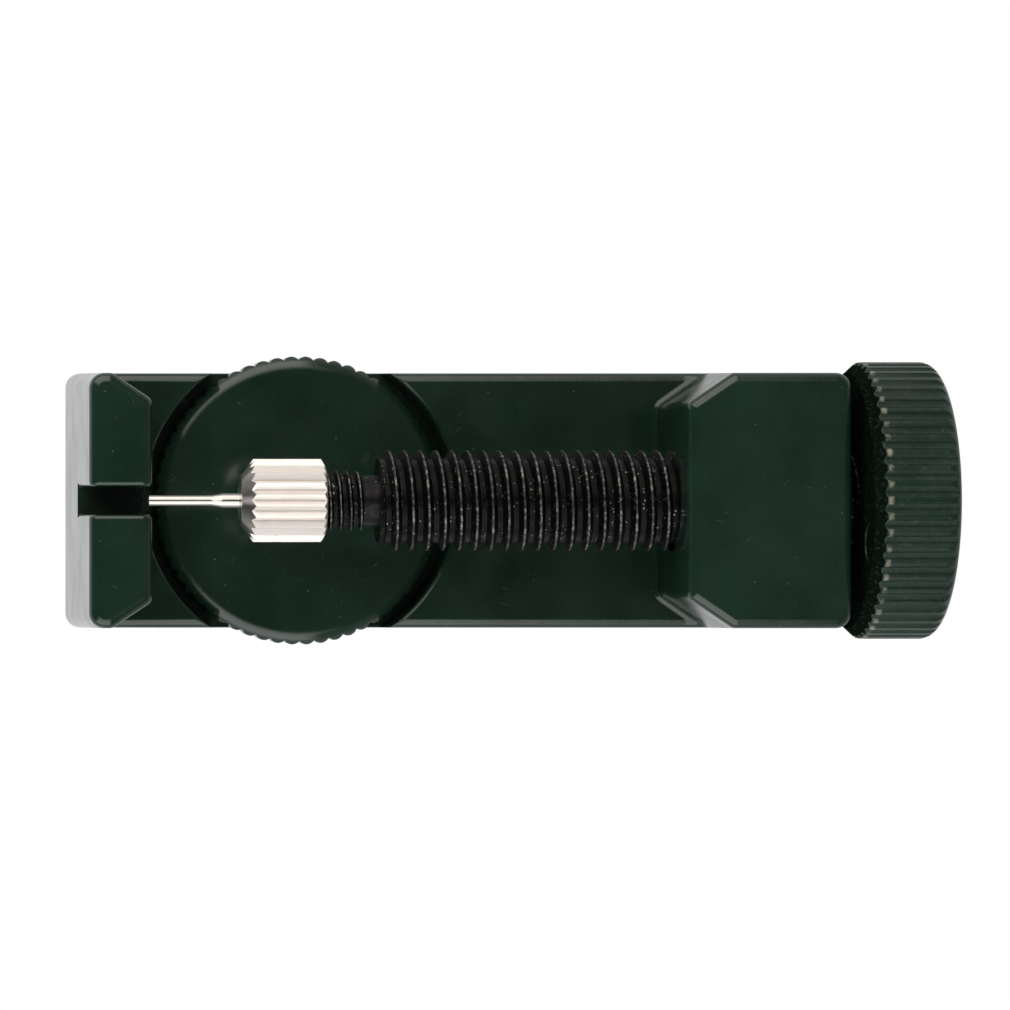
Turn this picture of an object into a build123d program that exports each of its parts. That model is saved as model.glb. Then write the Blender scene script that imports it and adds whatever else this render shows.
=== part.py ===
"""Watch bracelet pin remover: slotted anvil, thumb screw with push pin, and a lifting table wheel.

Millimetres. Origin at the centre of the flat underside of the base, +X from the anvil post towards the
thumb knob, +Z up. The screw, the cap and the pin share one axis, parallel to X.
"""
from build123d import *
import math
import os

# ---------------------------------------------------------------- driving dimensions
# frame casting
base_length = 60.4            # underside, end to end
base_width = 20.94            # underside
base_height = 8.6             # top of the base between the posts
post_height = 21.8            # top of both posts
side_draft = 1.5              # degrees, long sides
anvil_end_draft = 2.5         # degrees, outer face of the anvil post
screw_end_draft = 0.85        # degrees, outer face of the screw post
corner_radius = 1.2           # upright outer corners
anvil_inner_x = -24.36        # face that the bracelet link rests against
screw_post_inner_x = 17.17
anvil_chamfer = (3.6, 2.4)    # plan chamfer on the inner corners, along X and Y
screw_post_chamfer = (4.0, 2.7)
inner_corner_round = 0.8
post_top_fillet = 0.75
base_edge_fillet = 0.7
foot_fillet = 0.5
bottom_fillet = 0.4

# slot in the anvil post, where the bracelet pin comes out
slot_width = 2.2
slot_floor = 11.4
slot_edge_fillet = 0.35

# screw axis and threads
axis_height = 14.5
main_diameter = 7.92          # over the crests of the M8 thread
main_pitch = 1.25
main_depth = 0.6
main_start_x = -6.12
nose_diameter = 4.78          # over the crests of the M5 thread
nose_pitch = 0.8
nose_depth = 0.36
neck_diameter = 4.04
nose_end_x = -14.6
neck_start_x = -7.4
crest_flat = 1 / 8            # part of the pitch
main_crest_x = -5.02          # place of one crest on the top of the screw
nose_crest_x = -9.25
bore_clearance = 0.06         # radial, over the crests

# thumb knob
knob_radius = 10.94
knob_back_x = 30.99
knob_front_x = 37.64
knob_back_radius = 10.1
knob_back_chamfer_length = 0.92
knob_front_fillet = 1.0
flute_count = 54
flute_depth = 0.25
flute_width = 0.95
hub_radius = 4.7
hub_step = 0.22
knob_mark_radius = 1.4        # ejector mark on the back face
knob_mark_distance = 8.5
knob_mark_angle = 23.0        # degrees from the top, towards -Y
knob_mark_depth = 0.12
shank_diameter = 6.0
shank_end_x = 36.2
fit = 0.02                    # radial clearance of a close fit

# grub screw that locks the knob
grub_diameter = 3.0
grub_length = 4.0
grub_x = 34.4
grub_socket_width = 1.5
grub_socket_depth = 1.6
shank_flat_depth = 0.35
shank_flat_margin = 0.5       # flat beyond the screw, towards the base

# cap that clamps the pin
cap_front_x = -16.98
cap_rear_x = -10.3
cap_radius = 3.28
cap_front_radius = 1.93
cap_cone_length = 1.02
cap_rear_radius = 2.75
cap_rear_chamfer_length = 0.31
serration_count = 22
serration_depth = 0.44
crest_allowance = 0.01        # leaves a narrow flat on each crest
cap_wall = 1.05

# push pin
pin_tip_x = -24.29
pin_thin_diameter = 0.87
pin_shank_diameter = 1.19
pin_taper_start_x = -19.3
pin_taper_end_x = -18.42
pin_head_diameter = 3.2
pin_head_length = 1.15
pin_tip_chamfer = 0.08
pin_clearance = 0.04

# lifting table
table_x = -11.59
recess_radius = 12.5
recess_floor = 3.4
recess_lip = 0.25             # rounded upper edge of the recess
wheel_top = 7.6
wheel_thickness = 3.65
wheel_tip_radius = 11.66
lobe_count = 60
lobe_depth = 0.35
lobe_phase = 3.15             # degrees, place of the first lobe
wheel_flat_radius = 10.85
wheel_bevel_radius = 11.3
wheel_bevel_drop = 0.3
wheel_shoulder_drop = 0.72    # the lobes stand upright below this
wheel_bottom_chamfer = 0.4
stud_diameter = 6.0           # plain head
stud_thread_diameter = 5.9    # over the crests of the M6 thread
stud_bottom = 0.3
stud_top = 6.4
stud_pitch = 1.0
stud_thread_depth = 0.61
stud_thread_top = 3.9
washer_thickness = 0.45
washer_outer_diameter = 11.0
washer_clearance = 0.05

# shallow dished ejector marks on the base
mark_radius = 2.0
mark_depth = 0.1
mark_x = 3.91
mark_back_y = 7.0
mark_front_y = -5.8

# construction
tool_reach = 1.0              # how far cutting shapes start outside the body
tool_overlap = 0.05           # how far trimming outlines pass the faces they leave alone
same_place = 0.05             # tolerance when picking edges by position

os.makedirs("parts", exist_ok=True)


# ---------------------------------------------------------------- shared helpers
def axis_plane(x):
    """Plane across the screw axis at x, with its own Z along +X and its own X along +Y."""
    return Plane(origin=(x, 0, axis_height), x_dir=(0, 1, 0), z_dir=(1, 0, 0))


def inset(height, degrees):
    """How far a drafted face has moved inwards at a height above the underside."""
    return height * math.tan(math.radians(degrees))


screw_axis = Axis((0, 0, axis_height), (1, 0, 0))


def thread_ridge(length, outer_diameter, pitch, depth):
    """Right-hand thread ridge up the Z axis, whose crest crosses the +X side at z = 0."""
    crest_radius = outer_diameter / 2
    sink = 0.06
    root_radius = crest_radius - depth - sink
    crest_half = pitch * crest_flat / 2
    root_half = crest_half + (depth + sink) * math.tan(math.radians(30))
    with BuildPart() as ridge:
        with BuildLine():
            path = Helix(pitch, length, root_radius)
        with BuildSketch(Plane.XZ):
            with BuildLine():
                Polyline(
                    (root_radius, -root_half),
                    (crest_radius, -crest_half),
                    (crest_radius, crest_half),
                    (root_radius, root_half),
                    close=True,
                )
            make_face()
        sweep(path=path, is_frenet=True)
    return ridge.part


def threaded_rod(start_x, end_x, outer_diameter, pitch, depth, crest_x):
    """Threaded length on the screw axis with a lead-in cone, and one crest on the top at crest_x."""
    turns_back = math.ceil((crest_x - start_x) / pitch) + 1
    first_x = crest_x - turns_back * pitch
    overrun = 3 * pitch
    root_radius = outer_diameter / 2 - depth
    ridge = thread_ridge(end_x - first_x + pitch, outer_diameter, pitch, depth)
    top = Plane(origin=(first_x, 0, axis_height), x_dir=(0, 0, 1), z_dir=(1, 0, 0))
    with BuildPart() as rod:
        with BuildSketch(axis_plane(start_x - overrun)):
            Circle(root_radius)
        extrude(amount=end_x - start_x + 2 * overrun)
        add(top.location * ridge)
        with BuildSketch(Plane.XZ):
            with BuildLine():
                Polyline(
                    (start_x - 2 * overrun, axis_height),
                    (start_x - 2 * overrun, axis_height + 2 * outer_diameter),
                    (start_x + 2 * outer_diameter - root_radius, axis_height + 2 * outer_diameter),
                    (start_x, axis_height + root_radius),
                    (start_x, axis_height),
                    close=True,
                )
            make_face()
        revolve(axis=screw_axis, mode=Mode.SUBTRACT)
        with BuildSketch(axis_plane(end_x)):
            Circle(outer_diameter)
        extrude(amount=2 * overrun, mode=Mode.SUBTRACT)
    return rod.part


table_axis = Axis((table_x, 0, 0), (0, 0, 1))
table_centre = Location((table_x, 0))
table_section = Plane(origin=(table_x, 0, 0), x_dir=(1, 0, 0), z_dir=(0, -1, 0))

# ---------------------------------------------------------------- frame casting
bay_reach = base_width            # half width of the bay cutter, well past the sides
base_half_width = base_width / 2 - inset(base_height, side_draft)
post_half_width = base_width / 2 - inset(post_height, side_draft)

with BuildPart() as frame_body:
    # drafted block: side outline, then trimmed by the end outline
    with BuildSketch(Plane.XZ):
        with BuildLine():
            Polyline(
                (-base_length / 2, 0),
                (-base_length / 2 + inset(post_height, anvil_end_draft), post_height),
                (base_length / 2 - inset(post_height, screw_end_draft), post_height),
                (base_length / 2, 0),
                close=True,
            )
        make_face()
    extrude(amount=base_width, both=True)
    with BuildSketch(Plane.YZ):
        with BuildLine():
            Polyline(
                (-base_width / 2, 0),
                (-post_half_width, post_height),
                (post_half_width, post_height),
                (base_width / 2, 0),
                close=True,
            )
        make_face()
    extrude(amount=base_length, both=True, mode=Mode.INTERSECT)
    block_corners = frame_body.edges().filter_by(lambda e: abs(e.center().Z - post_height / 2) < same_place)
    fillet(block_corners, corner_radius)
    fillet(frame_body.edges().group_by(Axis.Z)[0], bottom_fillet)

    # link bay between the posts, widening where the posts' inner corners are chamfered
    anvil_corner_y = base_half_width - anvil_chamfer[1]
    anvil_run = anvil_chamfer[0] / anvil_chamfer[1] * (bay_reach - anvil_corner_y)
    screw_corner_y = base_half_width - screw_post_chamfer[1]
    screw_run = screw_post_chamfer[0] / screw_post_chamfer[1] * (bay_reach - screw_corner_y)
    with BuildSketch(Plane.XY.offset(base_height)) as bay:
        with BuildLine():
            Polyline(
                (anvil_inner_x - anvil_run, -bay_reach),
                (anvil_inner_x, -anvil_corner_y),
                (anvil_inner_x, anvil_corner_y),
                (anvil_inner_x - anvil_run, bay_reach),
                (screw_post_inner_x + screw_run, bay_reach),
                (screw_post_inner_x, screw_corner_y),
                (screw_post_inner_x, -screw_corner_y),
                (screw_post_inner_x + screw_run, -bay_reach),
                close=True,
            )
        make_face()
        inner_corners = [v for v in bay.vertices() if abs(v.Y) < base_half_width]
        fillet(inner_corners, inner_corner_round)
    extrude(amount=post_height, mode=Mode.SUBTRACT)

    # rounded top edges of both posts
    fillet(frame_body.edges().group_by(Axis.Z)[-1], post_top_fillet)

    # slot through the anvil post, open at the top, with rounded lips
    with BuildSketch(Plane.XY.offset(slot_floor)):
        with Locations((anvil_inner_x, 0)):
            Rectangle(base_length / 2, slot_width)
    extrude(amount=post_height, mode=Mode.SUBTRACT)
    anvil_edges = frame_body.edges().filter_by_position(Axis.X, -base_length, anvil_inner_x + same_place)
    slot_edges = anvil_edges.filter_by(lambda e: abs(e.center().Y) < slot_width / 2 + same_place)
    slot_edges = slot_edges.filter_by(lambda e: e.center().Z > slot_floor + same_place)
    fillet(slot_edges, slot_edge_fillet)

    # hollow fillets where the posts stand on the base, then the base's long top edges
    level_edges = frame_body.edges().filter_by(lambda e: abs(e.center().Z - base_height) < same_place)
    fillet(level_edges.filter_by(lambda e: e.length < base_width), foot_fillet)
    level_edges = frame_body.edges().filter_by(lambda e: abs(e.center().Z - base_height) < same_place)
    fillet(level_edges.filter_by(lambda e: e.length > base_length / 2), base_edge_fillet)

    # round recess for the table wheel, wider than the base so that the wheel shows at both sides
    with BuildSketch(table_section):
        with BuildLine():
            lip_radius = recess_radius + recess_lip
            Line((0, recess_floor), (recess_radius, recess_floor))
            Line((recess_radius, recess_floor), (recess_radius, base_height - recess_lip))
            RadiusArc(
                (recess_radius, base_height - recess_lip),
                (lip_radius, base_height),
                recess_lip,
            )
            Line((lip_radius, base_height), (lip_radius, base_height + foot_fillet))
            Line((lip_radius, base_height + foot_fillet), (0, base_height + foot_fillet))
            Line((0, base_height + foot_fillet), (0, recess_floor))
        make_face()
    revolve(axis=table_axis, mode=Mode.SUBTRACT)

    # tapped hole for the table stud, and tapped bore for the main screw
    with BuildSketch(Plane.XY):
        with Locations(table_centre):
            Circle(stud_diameter / 2 + bore_clearance)
    extrude(amount=base_height, mode=Mode.SUBTRACT)
    with BuildSketch(axis_plane(0)):
        Circle(main_diameter / 2 + bore_clearance)
    extrude(amount=base_length, mode=Mode.SUBTRACT)

    # faint round ejector marks on the base, dished
    dish_radius = (mark_radius**2 + mark_depth**2) / (2 * mark_depth)
    for mark_y in (mark_back_y, mark_front_y):
        mark_section = Plane(origin=(mark_x, mark_y, base_height), x_dir=(1, 0, 0), z_dir=(0, -1, 0))
        with BuildSketch(mark_section):
            with BuildLine():
                RadiusArc((0, -mark_depth), (mark_radius, 0), -dish_radius)
                Polyline(
                    (mark_radius, 0),
                    (mark_radius, tool_overlap),
                    (0, tool_overlap),
                    (0, -mark_depth),
                )
            make_face()
        revolve(axis=Axis((mark_x, mark_y, 0), (0, 0, 1)), mode=Mode.SUBTRACT)

# ---------------------------------------------------------------- main screw
hub_x = knob_back_x + hub_step
main_thread = threaded_rod(
    main_start_x, hub_x, main_diameter, main_pitch, main_depth, main_crest_x
)
nose_thread = threaded_rod(
    nose_end_x, neck_start_x, nose_diameter, nose_pitch, nose_depth, nose_crest_x
)

with BuildPart() as main_screw:
    add(main_thread)
    add(nose_thread)

    # plain neck, and plain shank with a flat for the grub screw
    with BuildSketch(axis_plane(neck_start_x - nose_pitch / 2)):
        Circle(neck_diameter / 2)
    extrude(amount=main_start_x - neck_start_x + nose_pitch)
    with BuildSketch(axis_plane(hub_x - tool_reach)):
        Circle(shank_diameter / 2)
    extrude(amount=shank_end_x - hub_x + tool_reach)
    with BuildSketch(axis_plane(grub_x - grub_diameter / 2 - shank_flat_margin)):
        with Locations((0, -shank_diameter + shank_flat_depth)):
            Rectangle(shank_diameter, shank_diameter)
    extrude(amount=shank_diameter, mode=Mode.SUBTRACT)

# ---------------------------------------------------------------- thumb knob
with BuildPart() as thumb_knob:
    # turned outline: back chamfer, rim, rounded front edge
    with BuildSketch(Plane.XZ):
        with BuildLine():
            Polyline(
                (knob_back_x, axis_height),
                (knob_back_x, axis_height + knob_back_radius),
                (knob_back_x + knob_back_chamfer_length, axis_height + knob_radius),
                (knob_front_x, axis_height + knob_radius),
                (knob_front_x, axis_height),
                close=True,
            )
        make_face()
    revolve(axis=screw_axis)
    fillet(thumb_knob.edges().group_by(Axis.X)[-1], knob_front_fillet)

    # wide shallow flutes along the rim
    flute_radius = ((flute_width / 2) ** 2 + flute_depth**2) / (2 * flute_depth)
    with BuildSketch(axis_plane(knob_back_x - tool_reach)):
        Circle(knob_radius + tool_reach)
        with PolarLocations(knob_radius - flute_depth + flute_radius, flute_count):
            Circle(flute_radius, mode=Mode.SUBTRACT)
    extrude(amount=knob_front_x - knob_back_x + 2 * tool_reach, mode=Mode.INTERSECT)

    # hub step, bore for the shank, ejector mark on the back, hole for the grub screw
    with BuildSketch(axis_plane(knob_back_x)):
        Circle(hub_radius)
    extrude(amount=hub_step, mode=Mode.SUBTRACT)
    with BuildSketch(axis_plane(knob_back_x)):
        Circle(shank_diameter / 2 + fit)
    extrude(amount=shank_end_x + tool_overlap - knob_back_x, mode=Mode.SUBTRACT)
    knob_mark_y = -knob_mark_distance * math.sin(math.radians(knob_mark_angle))
    knob_mark_rise = knob_mark_distance * math.cos(math.radians(knob_mark_angle))
    with BuildSketch(axis_plane(knob_back_x)):
        with Locations((knob_mark_y, knob_mark_rise)):
            Circle(knob_mark_radius)
    extrude(amount=knob_mark_depth, mode=Mode.SUBTRACT)
    with BuildSketch(Plane.XY):
        with Locations((grub_x, 0)):
            Circle(grub_diameter / 2 + fit)
    extrude(amount=axis_height, mode=Mode.SUBTRACT)

# ---------------------------------------------------------------- grub screw
shank_flat_z = axis_height - shank_diameter / 2 + shank_flat_depth
grub_tip_z = shank_flat_z - fit
with BuildPart() as knob_grub_screw:
    with BuildSketch(Plane.XY.offset(grub_tip_z - grub_length)):
        with Locations((grub_x, 0)):
            Circle(grub_diameter / 2)
    extrude(amount=grub_length)
    chamfer(knob_grub_screw.edges().filter_by(GeomType.CIRCLE), grub_diameter / 10)
    with BuildSketch(Plane.XY.offset(grub_tip_z - grub_length)):
        with Locations((grub_x, 0)):
            RegularPolygon(grub_socket_width / 2, 6, major_radius=False)
    extrude(amount=grub_socket_depth, mode=Mode.SUBTRACT)

# ---------------------------------------------------------------- cap that clamps the pin
with BuildPart() as pin_cap:
    with BuildSketch(Plane.XZ):
        with BuildLine():
            Polyline(
                (cap_front_x, axis_height),
                (cap_front_x, axis_height + cap_front_radius),
                (cap_front_x + cap_cone_length, axis_height + cap_radius),
                (cap_rear_x - cap_rear_chamfer_length, axis_height + cap_radius),
                (cap_rear_x, axis_height + cap_rear_radius),
                (cap_rear_x, axis_height),
                close=True,
            )
        make_face()
    revolve(axis=screw_axis)

    # V serrations, one of them on the top
    with BuildSketch(axis_plane(cap_front_x - tool_reach)):
        with BuildLine():
            outline = []
            for step in range(2 * serration_count):
                angle = math.pi / 2 + math.pi * step / serration_count
                radius = cap_radius + crest_allowance - (serration_depth if step % 2 == 0 else 0)
                outline.append((radius * math.cos(angle), radius * math.sin(angle)))
            Polyline(*outline, close=True)
        make_face()
    extrude(amount=cap_rear_x - cap_front_x + 2 * tool_reach, mode=Mode.INTERSECT)

    # tapped bore from the rear, and a small hole for the pin in the front wall
    with BuildSketch(axis_plane(cap_front_x + cap_wall)):
        Circle(nose_diameter / 2 + bore_clearance)
    extrude(amount=cap_rear_x - cap_front_x, mode=Mode.SUBTRACT)
    with BuildSketch(axis_plane(cap_front_x)):
        Circle(pin_shank_diameter / 2 + pin_clearance)
    extrude(amount=cap_wall, mode=Mode.SUBTRACT)

# ---------------------------------------------------------------- push pin
pin_head_x = cap_front_x + cap_wall + fit
with BuildPart() as push_pin:
    with BuildSketch(Plane.XZ):
        with BuildLine():
            Polyline(
                (pin_tip_x, axis_height),
                (pin_tip_x, axis_height + pin_thin_diameter / 2 - pin_tip_chamfer),
                (pin_tip_x + pin_tip_chamfer, axis_height + pin_thin_diameter / 2),
                (pin_taper_start_x, axis_height + pin_thin_diameter / 2),
                (pin_taper_end_x, axis_height + pin_shank_diameter / 2),
                (pin_head_x, axis_height + pin_shank_diameter / 2),
                (pin_head_x, axis_height + pin_head_diameter / 2),
                (pin_head_x + pin_head_length, axis_height + pin_head_diameter / 2),
                (pin_head_x + pin_head_length, axis_height),
                close=True,
            )
        make_face()
    revolve(axis=screw_axis)

# ---------------------------------------------------------------- lifting table
wheel_bottom = wheel_top - wheel_thickness
with BuildPart() as table_wheel:
    # lobed rim
    lobe_pitch = 2 * math.pi * wheel_tip_radius / lobe_count
    lobe_radius = ((lobe_pitch / 2) ** 2 + lobe_depth**2) / (2 * lobe_depth)
    with BuildSketch(Plane.XY.offset(wheel_bottom)):
        with Locations(table_centre):
            Circle(wheel_tip_radius - lobe_depth - 2 * tool_overlap)
            with PolarLocations(wheel_tip_radius - lobe_radius, lobe_count, start_angle=lobe_phase):
                Circle(lobe_radius)
    extrude(amount=wheel_thickness)

    # bevelled and rounded-off top edge, broken bottom edge, turned
    outer_radius = wheel_tip_radius + tool_overlap
    with BuildSketch(table_section):
        with BuildLine():
            Polyline(
                (0, wheel_top),
                (wheel_flat_radius, wheel_top),
                (wheel_bevel_radius, wheel_top - wheel_bevel_drop),
                (outer_radius, wheel_top - wheel_shoulder_drop),
                (outer_radius, wheel_bottom + wheel_bottom_chamfer),
                (outer_radius - wheel_bottom_chamfer, wheel_bottom),
                (0, wheel_bottom),
                close=True,
            )
        make_face()
    revolve(axis=table_axis, mode=Mode.INTERSECT)

    # blind hole for the stud
    with BuildSketch(Plane.XY.offset(wheel_bottom)):
        with Locations(table_centre):
            Circle(stud_diameter / 2 + fit)
    extrude(amount=stud_top + fit - wheel_bottom, mode=Mode.SUBTRACT)

stud_root_radius = stud_thread_diameter / 2 - stud_thread_depth
stud_start = stud_bottom - stud_pitch
stud_ridge = thread_ridge(
    stud_thread_top - stud_bottom + 2 * stud_pitch, stud_thread_diameter, stud_pitch, stud_thread_depth
)
with BuildPart() as table_stud:
    # threaded length, overlong at first, trimmed to a lead-in cone below and flat above
    with BuildSketch(Plane.XY.offset(stud_start - 2 * stud_pitch)):
        with Locations(table_centre):
            Circle(stud_root_radius)
    extrude(amount=stud_thread_top - stud_start + 5 * stud_pitch)
    add(Location((table_x, 0, stud_start)) * stud_ridge)
    with BuildSketch(table_section):
        with BuildLine():
            Polyline(
                (0, stud_bottom),
                (stud_root_radius, stud_bottom),
                (2 * stud_diameter, stud_bottom + 2 * stud_diameter - stud_root_radius),
                (2 * stud_diameter, stud_bottom - stud_diameter),
                (0, stud_bottom - stud_diameter),
                close=True,
            )
        make_face()
    revolve(axis=table_axis, mode=Mode.SUBTRACT)
    with BuildSketch(Plane.XY.offset(stud_thread_top)):
        with Locations(table_centre):
            Circle(stud_diameter)
    extrude(amount=2 * stud_diameter, mode=Mode.SUBTRACT)

    # plain head pressed into the wheel
    with BuildSketch(Plane.XY.offset(stud_thread_top)):
        with Locations(table_centre):
            Circle(stud_diameter / 2)
    extrude(amount=stud_top - stud_thread_top)

washer_bottom = recess_floor + washer_clearance
with BuildPart() as friction_washer:
    with BuildSketch(Plane.XY.offset(washer_bottom)):
        with Locations(table_centre):
            Circle(washer_outer_diameter / 2)
            Circle(stud_diameter / 2 + bore_clearance, mode=Mode.SUBTRACT)
    extrude(amount=washer_thickness)

# ---------------------------------------------------------------- hand over
pieces = {
    "frame_body": frame_body,
    "main_screw": main_screw,
    "thumb_knob": thumb_knob,
    "knob_grub_screw": knob_grub_screw,
    "pin_cap": pin_cap,
    "push_pin": push_pin,
    "table_wheel": table_wheel,
    "table_stud": table_stud,
    "friction_washer": friction_washer,
}
for name, piece in pieces.items():
    piece.part.label = name
    export_step(piece.part, f"parts/{name}.step")
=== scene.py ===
"""Looks of the watch bracelet pin remover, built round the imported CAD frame. Metres, +Z up."""

import bpy
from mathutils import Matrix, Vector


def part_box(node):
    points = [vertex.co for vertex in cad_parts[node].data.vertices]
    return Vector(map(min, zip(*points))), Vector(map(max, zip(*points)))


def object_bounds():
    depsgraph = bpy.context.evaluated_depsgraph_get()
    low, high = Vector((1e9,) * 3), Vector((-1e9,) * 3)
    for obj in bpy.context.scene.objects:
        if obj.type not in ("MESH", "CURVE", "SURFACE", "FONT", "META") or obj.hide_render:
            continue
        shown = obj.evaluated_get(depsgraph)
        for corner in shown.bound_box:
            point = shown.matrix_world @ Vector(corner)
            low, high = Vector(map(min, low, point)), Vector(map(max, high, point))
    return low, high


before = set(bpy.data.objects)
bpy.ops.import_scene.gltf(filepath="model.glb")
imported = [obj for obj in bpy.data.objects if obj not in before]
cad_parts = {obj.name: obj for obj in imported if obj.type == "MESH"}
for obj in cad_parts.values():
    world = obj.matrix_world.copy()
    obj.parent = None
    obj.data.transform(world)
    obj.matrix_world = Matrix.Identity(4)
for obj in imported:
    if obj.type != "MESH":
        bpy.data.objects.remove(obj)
cad_low, cad_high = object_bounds()

MM = 0.001

# ---------------------------------------------------------------- places read from the frame
frame_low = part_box("frame_body")[0]
screw_low, screw_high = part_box("main_screw")
cap_low, cap_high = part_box("pin_cap")
knob_low, knob_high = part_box("thumb_knob")
axis_z = (screw_low.z + screw_high.z) / 2
screw_crest_radius = (screw_high.z - screw_low.z) / 2
cap_radius = (cap_high.z - cap_low.z) / 2
knob_radius = (knob_high.z - knob_low.z) / 2

# the screw's thin nose carries the cap: its crests, and the last place that still counts as nose
nose_crest_radius = 2.39 * MM
nose_end_x = cap_high.x + 3 * MM

# the middle stretch of a noise, which ramps spread over a whole range
MIDDLE = (0.3, 0.7)


# ---------------------------------------------------------------- node helpers
class Graph:
    """A short way to write a node tree: each call adds nodes and returns the output to use next."""

    def __init__(self, tree):
        self.tree = tree
        self.nodes = tree.nodes
        self.nodes.clear()

    def node(self, kind, settings=None, **inputs):
        """One node. Input names are written with _ for each space."""
        made = self.nodes.new(kind)
        for key, value in (settings or {}).items():
            setattr(made, key, value)
        for key, value in inputs.items():
            self.feed(made.inputs[key.replace("_", " ")], value)
        return made

    def feed(self, socket, value):
        """Links the socket to an output, or gives it a plain value."""
        if isinstance(value, bpy.types.NodeSocket):
            self.tree.links.new(value, socket)
        else:
            socket.default_value = value

    def place(self):
        """The shaded point in the object's own axes, which are the frame's at rest."""
        return self.node("ShaderNodeTexCoord").outputs["Object"]

    def split(self, vector):
        """The x, y and z of a vector."""
        return self.node("ShaderNodeSeparateXYZ", Vector=vector).outputs

    def maths(self, operation, a, b=0.0):
        made = self.node("ShaderNodeMath", {"operation": operation})
        self.feed(made.inputs[0], a)
        self.feed(made.inputs[1], b)
        return made.outputs[0]

    def times(self, first, *others):
        """The product of two or more values."""
        for other in others:
            first = self.maths("MULTIPLY", first, other)
        return first

    def ramp(self, value, low, high, to_low=0.0, to_high=1.0):
        """A smooth step from to_low to to_high as value goes from low to high."""
        made = self.node("ShaderNodeMapRange", {"interpolation_type": "SMOOTHSTEP"},
                         Value=value, From_Min=low, From_Max=high, To_Min=to_low, To_Max=to_high)
        return made.outputs["Result"]

    # The Mix node repeats its socket names for each kind of data, so its sockets are taken by number.
    def mix_value(self, share, a, b):
        """a where share is 0, b where it is 1."""
        made = self.node("ShaderNodeMix")
        for socket, value in ((0, share), (2, a), (3, b)):
            self.feed(made.inputs[socket], value)
        return made.outputs[0]

    def mix(self, share, a, b, blend="MIX"):
        """The same for colours."""
        made = self.node("ShaderNodeMix", {"data_type": "RGBA", "blend_type": blend})
        for socket, value in ((0, share), (6, a), (7, b)):
            self.feed(made.inputs[socket], value)
        return made.outputs[2]

    def scaled(self, vector, scale, offset=(0, 0, 0)):
        return self.node("ShaderNodeMapping", Vector=vector, Scale=scale, Location=offset).outputs[0]

    def noise(self, vector, wavelength, detail=2.0, roughness=0.5):
        """Noise whose features are about one wavelength across, 0 to 1."""
        made = self.node("ShaderNodeTexNoise", Vector=vector, Scale=1 / wavelength,
                         Detail=detail, Roughness=roughness)
        return made.outputs["Fac"]

    def specks(self, vector, spacing, size, keep):
        """Round specks on a jittered grid: size is their radius, keep the share of cells that have one."""
        cell = self.node("ShaderNodeTexVoronoi", Vector=vector, Scale=1 / spacing)
        chance = self.node("ShaderNodeSeparateColor", Color=cell.outputs["Color"]).outputs[0]
        there = self.maths("LESS_THAN", chance, keep)
        rim = size / spacing
        near = self.ramp(cell.outputs["Distance"], rim * 0.5, rim, 1.0, 0.0)
        return self.times(there, near)

    def hairs(self, vector):
        """Short straight scratches in three directions: specks drawn out along one axis."""
        stretch = (0.35, 6.0, 1.0)
        radius = 0.18 * MM
        keep = 0.35
        total = 0.0
        # direction in radians and spacing in millimetres: the two also shift each layer's pattern
        for turn, spacing in ((0.35, 2.1), (1.25, 2.9), (2.40, 2.5)):
            turned = self.node("ShaderNodeMapping", Vector=vector, Rotation=(0, 0, turn)).outputs[0]
            cells = self.scaled(turned, stretch, (spacing, turn, 0))
            total = self.maths("MAXIMUM", total, self.specks(cells, spacing * MM, radius, keep))
        return total

    def bump(self, height, distance, strength, normal=None):
        made = self.node("ShaderNodeBump", Height=height, Distance=distance, Strength=strength)
        if normal is not None:
            self.feed(made.inputs["Normal"], normal)
        return made.outputs[0]


def new_material(name):
    material = bpy.data.materials.new(name)
    material.use_nodes = True
    return material, Graph(material.node_tree)


def finish_material(g, **inputs):
    shader = g.node("ShaderNodeBsdfPrincipled", **inputs)
    g.node("ShaderNodeOutputMaterial", Surface=shader.outputs[0])


def distance_from_axis(g, p):
    """Distance of a point from the screw's axis."""
    _, y, z = g.split(p)
    z = g.maths("SUBTRACT", z, axis_z)
    return g.maths("SQRT", g.maths("ADD", g.times(y, y), g.times(z, z)))


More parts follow.
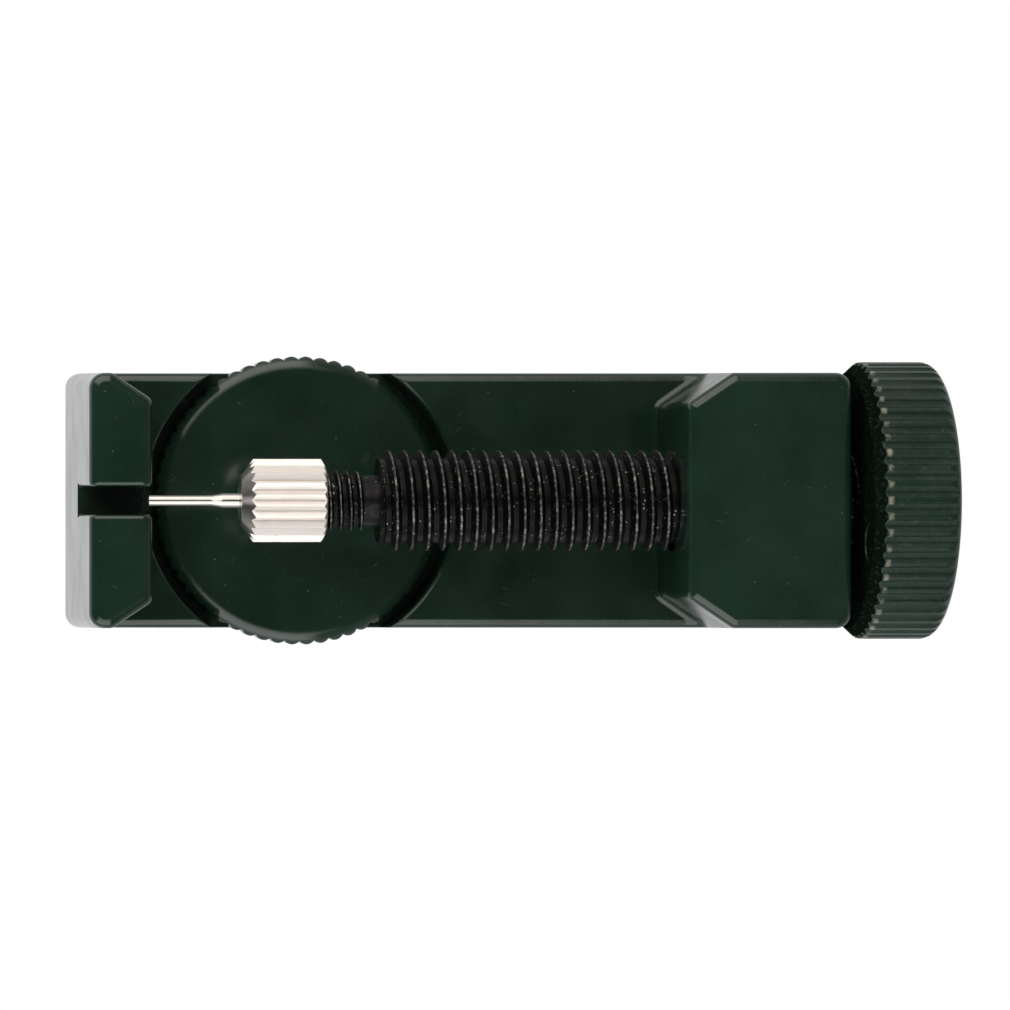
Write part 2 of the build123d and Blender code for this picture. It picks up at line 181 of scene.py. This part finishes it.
# ---------------------------------------------------------------- green enamel
def enamel(name, scratches=0.3, dusty=0.5, edge=0.14 * MM, smooth=(0.12, 0.19), tint=1.0,
           gloss=0.5, knob_back=False):
    """Dark green stove enamel: orange peel, mottled tone, dust, fine scratches and soft edges.

    scratches and dusty are how much each one shows, edge is the radius that edges look rounded
    to, and smooth is the range of roughness. knob_back adds painted shade that makes the knob's
    back near-black and dull, and its worn ridge ends with a painted glint.
    """
    dark_green = (0.0062, 0.0200, 0.0110, 1)
    light_green = (0.0112, 0.0300, 0.0195, 1)
    dust_grey = (0.22, 0.22, 0.20, 1)
    scratch_grey = (0.10, 0.12, 0.10, 1)
    peel_height = 0.03 * MM
    mark_height = 0.006 * MM

    material, g = new_material(name)
    p = g.place()
    tone = g.ramp(g.noise(p, 6 * MM, 5.0, 0.55), *MIDDLE)
    colour = g.mix(tone, dark_green, light_green)
    colour = g.mix(1.0, colour, (tint, tint, tint, 1), "MULTIPLY")

    coarse_dust = g.specks(p, 1.1 * MM, 0.06 * MM, 0.6)
    fine_dust = g.specks(p, 0.45 * MM, 0.04 * MM, 0.3)
    dust = g.maths("MAXIMUM", coarse_dust, g.times(fine_dust, 0.5))
    colour = g.mix(g.times(dust, dusty), colour, dust_grey)
    scratch = g.hairs(p)
    colour = g.mix(g.times(scratch, scratches), colour, scratch_grey)

    roughness = g.ramp(g.noise(p, 4 * MM, 3.0), *MIDDLE, *smooth)
    roughness = g.maths("ADD", roughness, g.times(dust, 0.3))
    peel = g.maths("ADD", g.noise(p, 2.2 * MM, 1.0), g.times(g.noise(p, 0.7 * MM, 2.0), 0.2))
    rounded = g.node("ShaderNodeBevel", {"samples": 6}, Radius=edge).outputs[0]
    normal = g.bump(peel, peel_height, 0.5, rounded)
    normal = g.bump(g.maths("ADD", dust, scratch), mark_height, 0.5, normal)

    if knob_back:
        colour, roughness, gloss = painted_knob_back_shade(g, p, colour, roughness, gloss)
    finish_material(g, Base_Color=colour, Roughness=roughness, Normal=normal, Specular_IOR_Level=gloss)
    return material


def painted_knob_back_shade(g, p, colour, roughness, gloss):
    """The knob's back, facing the post, made near-black and dull as painted shade; its scuffed paint; and
    the ridge ends with paint worn off and a painted glint.
    """
    shade_black = (0.002, 0.003, 0.002, 1)
    scuff_green = (0.055, 0.085, 0.070, 1)
    worn_metal_and_glint = (0.30, 0.30, 0.24, 1)

    # painted shade: faces turned back towards the post are darkened near-black and lose their sheen
    facing, _, _ = g.split(g.node("ShaderNodeNewGeometry").outputs["Normal"])
    ragged = g.ramp(g.noise(p, 0.5 * MM, 3.0), *MIDDLE, -0.04, 0.04)
    back_shade = g.ramp(g.maths("ADD", facing, ragged), -0.58, -0.30, 1.0, 0.0)
    colour = g.mix(g.times(back_shade, 0.85), colour, shade_black)
    gloss = g.mix_value(back_shade, gloss, 0.0)
    roughness = g.maths("ADD", roughness, g.times(back_shade, 0.45))

    scuffed = g.ramp(g.noise(g.scaled(p, (0.5, 1, 1)), 0.30 * MM, 4.0, 0.7), 0.52, 0.72, 0.0, 0.35)
    colour = g.mix(scuffed, colour, scuff_green)
    # worn paint and painted glint: pale patches on the ridge ends, where light would catch them
    colour = g.mix(worn_ridge_ends_and_glint(g, p), colour, worn_metal_and_glint)
    return colour, roughness, gloss


def worn_ridge_ends_and_glint(g, p):
    """Where paint is worn off the knob, with a painted glint: in patches at the ridge ends, where they
    meet its back chamfer.
    """
    ridge_end_x = knob_low.x + 1.05 * MM

    x, _, _ = g.split(p)
    away = g.maths("ABSOLUTE", g.maths("SUBTRACT", x, ridge_end_x))
    on_crest = g.ramp(distance_from_axis(g, p), knob_radius - 0.20 * MM, knob_radius - 0.07 * MM)
    at_end = g.ramp(away, 0.06 * MM, 0.32 * MM, 1.0, 0.0)
    patchy = g.ramp(g.noise(p, 0.9 * MM, 5.0, 0.8), 0.38, 0.62, 0.05, 0.95)
    return g.times(on_crest, at_end, patchy)


# ---------------------------------------------------------------- metals and nylon
def black_oxide(name):
    """Blackened steel: crests rubbed bright in patches, grease with painted shade and metal dust in the
    roots.
    """
    oxide_dark = (0.004, 0.004, 0.004, 1)
    oxide_light = (0.016, 0.015, 0.015, 1)
    rubbed_steel = (0.30, 0.29, 0.28, 1)
    metal_dust = (0.45, 0.44, 0.42, 1)

    material, g = new_material(name)
    p = g.place()
    x, _, _ = g.split(p)
    on_nose = g.maths("LESS_THAN", x, nose_end_x)
    crest_radius = g.ramp(on_nose, 0.0, 1.0, screw_crest_radius, nose_crest_radius)
    depth = g.maths("SUBTRACT", crest_radius, distance_from_axis(g, p))

    crest = g.ramp(depth, 0.005 * MM, 0.06 * MM, 1.0, 0.0)
    worn = g.ramp(g.noise(p, 0.45 * MM, 4.0, 0.75), 0.47, 0.64)
    rubbed = g.times(crest, g.maths("ADD", g.times(worn, 0.65), 0.07))
    colour = g.mix(g.noise(p, 0.8 * MM, 3.0), oxide_dark, oxide_light)
    colour = g.mix(rubbed, colour, rubbed_steel)

    # the plain neck lies deeper than any thread root, and gets none of the roots' grime, grease or painted
    # shade
    on_thread = g.ramp(depth, 0.8 * MM, 1.0 * MM, 1.0, 0.0)
    # grease and painted shade: the roots reflect less the deeper they lie
    grease_and_shade = g.times(g.ramp(depth, 0.03 * MM, 0.18 * MM), on_thread)
    grime = g.times(g.ramp(g.noise(p, 2.2 * MM, 2.0), 0.38, 0.56), on_thread)
    fine_grit = g.specks(p, 0.26 * MM, 0.06 * MM, 0.40)
    coarse_grit = g.specks(p, 0.41 * MM, 0.09 * MM, 0.30)
    lone_dust = g.specks(p, 0.8 * MM, 0.07 * MM, 0.30)
    dust = g.maths("MAXIMUM", lone_dust, g.times(g.maths("MAXIMUM", fine_grit, coarse_grit), grime))
    colour = g.mix(g.times(dust, 0.8), colour, metal_dust)

    roughness = g.ramp(g.noise(p, 0.5 * MM, 2.0), *MIDDLE, 0.28, 0.5)
    normal = g.bump(g.noise(p, 0.25 * MM, 3.0), 0.014 * MM, 0.5)
    gloss = g.mix_value(grease_and_shade, 0.5, 0.12)
    finish_material(g, Base_Color=colour, Metallic=0.75, Roughness=roughness, Normal=normal,
                    Specular_IOR_Level=gloss)
    return material


def nickel(name):
    """Satin nickel plate: fine lines along the flutes, small pits, painted shade in the flute roots, a
    turned cone.
    """
    plate_dark = (0.92, 0.855, 0.82, 1)
    plate_light = (1.0, 0.935, 0.895, 1)
    painted_root_shade = (0.42, 0.38, 0.35, 1)
    pit_grey = (0.35, 0.33, 0.31, 1)
    cone_end_x = cap_low.x + 0.9 * MM

    material, g = new_material(name)
    p = g.place()
    x, _, _ = g.split(p)
    in_root = g.ramp(distance_from_axis(g, p), cap_radius - 0.42 * MM, cap_radius - 0.30 * MM, 1.0, 0.0)
    past_cone = g.ramp(x, cone_end_x, cone_end_x + 0.1 * MM)
    shade = g.noise(g.scaled(p, (0.4, 1, 1)), 0.5 * MM, 3.0)
    colour = g.mix(shade, plate_dark, plate_light)
    # painted shade: the flute roots are greyed as if in shade
    colour = g.mix(g.times(in_root, past_cone, 0.40), colour, painted_root_shade)
    pits = g.specks(p, 0.6 * MM, 0.06 * MM, 0.15)
    colour = g.mix(g.times(pits, 0.5), colour, pit_grey)

    lines = g.noise(g.scaled(p, (0.08, 1, 1)), 0.12 * MM, 2.0)
    grain = g.noise(p, 0.12 * MM, 2.0)
    roughness = g.mix_value(past_cone, 0.28, g.ramp(lines, *MIDDLE, 0.46, 0.58))
    normal = g.bump(g.maths("ADD", lines, grain), 0.006 * MM, 0.4)
    round_the_axis = g.node("ShaderNodeTangent", {"direction_type": "RADIAL", "axis": "X"}).outputs[0]
    finish_material(g, Base_Color=colour, Metallic=1.0, Roughness=roughness, Normal=normal,
                    Anisotropic=g.mix_value(past_cone, 0.85, 0.0), Anisotropic_Rotation=0.25,
                    Tangent=round_the_axis)
    return material


def ground_steel(name, tint, rough):
    """Ground steel with fine lines square to the screw's axis, so they are rings on the push pin.

    tint is its colour, and rough the range of its roughness.
    """
    darker = 0.82

    material, g = new_material(name)
    p = g.place()
    rings = g.noise(g.scaled(p, (1, 0.05, 0.05)), 0.05 * MM, 2.0)
    shaded = tuple(channel * darker for channel in tint) + (1,)
    colour = g.mix(g.noise(p, 0.9 * MM, 3.0), tint + (1,), shaded)
    finish_material(g, Base_Color=colour, Metallic=1.0, Roughness=g.ramp(rings, *MIDDLE, *rough),
                    Normal=g.bump(rings, 0.002 * MM, 0.3))
    return material


def nylon(name):
    """Natural nylon, slightly translucent, with a faint grain."""
    dull_cream = (0.72, 0.69, 0.61, 1)
    pale_cream = (0.82, 0.80, 0.74, 1)

    material, g = new_material(name)
    p = g.place()
    colour = g.mix(g.noise(p, 2 * MM, 3.0), dull_cream, pale_cream)
    finish_material(g, Base_Color=colour, Roughness=0.45, Subsurface_Weight=0.2,
                    Normal=g.bump(g.noise(p, 0.3 * MM, 2.0), 0.01 * MM, 0.3))
    return material


finishes = {
    "frame_body": enamel("enamel_casting"),
    "thumb_knob": enamel("enamel_knob", dusty=0.7, smooth=(0.18, 0.30), tint=1.15, gloss=0.36,
                         knob_back=True),
    "table_wheel": enamel("enamel_wheel", scratches=0.5, dusty=0.8, edge=0.45 * MM),
    "main_screw": black_oxide("black_oxide"),
    "knob_grub_screw": black_oxide("black_oxide_grub"),
    "pin_cap": nickel("satin_nickel"),
    "push_pin": ground_steel("pin_steel", tint=(0.47, 0.45, 0.43), rough=(0.10, 0.20)),
    "table_stud": ground_steel("zinc_steel", tint=(0.50, 0.50, 0.49), rough=(0.3, 0.45)),
    "friction_washer": nylon("nylon"),
}
for node, material in finishes.items():
    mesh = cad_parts[node].data
    mesh.materials.clear()
    mesh.materials.append(material)


# ---------------------------------------------------------------- floor, light and camera
def seen_directly(g):
    """1 for what the camera sees directly, 0 for what is mirrored in the object or lights it."""
    return g.node("ShaderNodeLightPath").outputs["Is Camera Ray"]


def floor():
    """White sweep that shows no shadow. Mirrored in the object it is darker, a painted shade of the floor
    round the object, least so at the anvil end.
    """
    side = 4.0
    drop = 0.02 * MM
    fade = 8 * MM
    at_anvil, beyond = 0.86, 0.62

    bpy.ops.mesh.primitive_plane_add(size=side, location=(0, 0, cad_low.z - drop))
    plane = bpy.context.object
    plane.name = "floor"
    material, g = new_material("pale_floor")
    p = g.place()
    x, _, _ = g.split(p)
    # painted shade: the floor as the object mirrors it is dimmed as if shaded by the object, most towards
    # the knob end
    mirrored = g.ramp(x, frame_low.x, frame_low.x + fade, at_anvil, beyond)
    mirrored = g.times(mirrored, g.ramp(g.noise(p, 60 * MM, 2.0), *MIDDLE, 0.97, 1.03))
    strength = g.maths("MAXIMUM", seen_directly(g), mirrored)
    glow = g.node("ShaderNodeEmission", Color=(1.0, 1.0, 1.0, 1), Strength=strength)
    g.node("ShaderNodeOutputMaterial", Surface=glow.outputs[0])
    plane.data.materials.append(material)


def studio_world():
    """A soft box along each side, warmer at the back (+Y), with dim walls and little light overhead.

    x, y and z are the parts of the direction looked in, so each limit is the sine of an angle,
    but for the reach towards the anvil end, which is x over y: the tangent of an angle in plan.
    """
    box_strength = 2.5
    cool_white = (0.97, 1.0, 0.985, 1)
    warm_white = (1.0, 0.975, 0.92, 1)
    white = (1, 1, 1, 1)

    world = bpy.data.worlds.new("studio")
    bpy.context.scene.world = world
    world.use_nodes = True
    g = Graph(world.node_tree)
    x, y, z = g.split(g.node("ShaderNodeTexCoord").outputs["Generated"])

    across = g.maths("MAXIMUM", g.maths("ABSOLUTE", y), 0.001)
    towards_anvil = g.maths("DIVIDE", g.times(x, -1.0), across)

    def side_box(knob_limit, anvil_limit):
        """1 inside a side's soft box. Each limit is where its rim starts to fade and where it ends."""
        before_knob = g.ramp(x, *knob_limit, 1.0, 0.0)
        before_anvil = g.ramp(towards_anvil, *anvil_limit, 1.0, 0.0)
        return g.times(before_knob, before_anvil)

    back_box = side_box((0.08, 0.22), (1.3, 1.8))
    front_box = side_box((0.11, 0.24), (0.75, 1.05))
    at_back = g.ramp(y, -0.05, 0.05)
    box = g.maths("ADD", g.times(at_back, back_box),
                  g.times(g.maths("SUBTRACT", 1.0, at_back), front_box))
    below_zenith = g.ramp(z, 0.93, 0.975, 1.0, 0.0)
    above_floor = g.ramp(z, 0.03, 0.22)
    box = g.times(box, below_zenith, above_floor)

    high_wall = g.ramp(x, -0.02, 0.26, 0.03, 0.115)
    low_wall = g.ramp(x, -0.95, -0.45, 0.12, 0.42)
    walls = g.mix_value(g.ramp(z, 0.15, 0.55), low_wall, high_wall)
    strength = g.maths("ADD", g.times(box, box_strength), walls)
    strength = g.maths("MAXIMUM", strength, seen_directly(g))
    colour = g.mix(at_back, cool_white, warm_white)
    colour = g.mix(seen_directly(g), colour, white)
    background = g.node("ShaderNodeBackground", Color=colour, Strength=strength)
    g.node("ShaderNodeOutputWorld", Surface=background.outputs[0])


def camera():
    """Hangs straight over a point beyond the anvil end, with the lens shifted to frame the object."""
    height = 358.5 * MM
    nadir_x = -46.29 * MM
    image_px = 1010
    focal_px = 4345
    shift_x = 635 / image_px
    shift_y = -4.5 / image_px
    station_reach = 0.5 * MM

    data = bpy.data.cameras.new("camera")
    data.sensor_width = 36.0
    data.lens = data.sensor_width * focal_px / image_px
    data.clip_start, data.clip_end = 0.01, 10.0
    cam = bpy.data.objects.new("camera", data)
    cam.location = (nadir_x, 0, height)
    bpy.context.scene.collection.objects.link(cam)
    bpy.context.scene.camera = cam

    # the lens is shifted only at this station: from elsewhere the camera looks straight at the object
    for channel, amount in (("shift_x", shift_x), ("shift_y", shift_y)):
        driver = data.driver_add(channel).driver
        driver.type = "SCRIPTED"
        for name, axis in (("px", "LOC_X"), ("py", "LOC_Y"), ("pz", "LOC_Z")):
            variable = driver.variables.new()
            variable.name = name
            variable.type = "TRANSFORMS"
            target = variable.targets[0]
            target.id = cam
            target.transform_type = axis
            target.transform_space = "WORLD_SPACE"
        away = f"abs(px - {nadir_x}) + abs(py) + abs(pz - {height})"
        driver.expression = f"{amount} if {away} < {station_reach} else 0.0"


floor()
studio_world()
camera()
bpy.context.scene.view_settings.view_transform = "Standard"
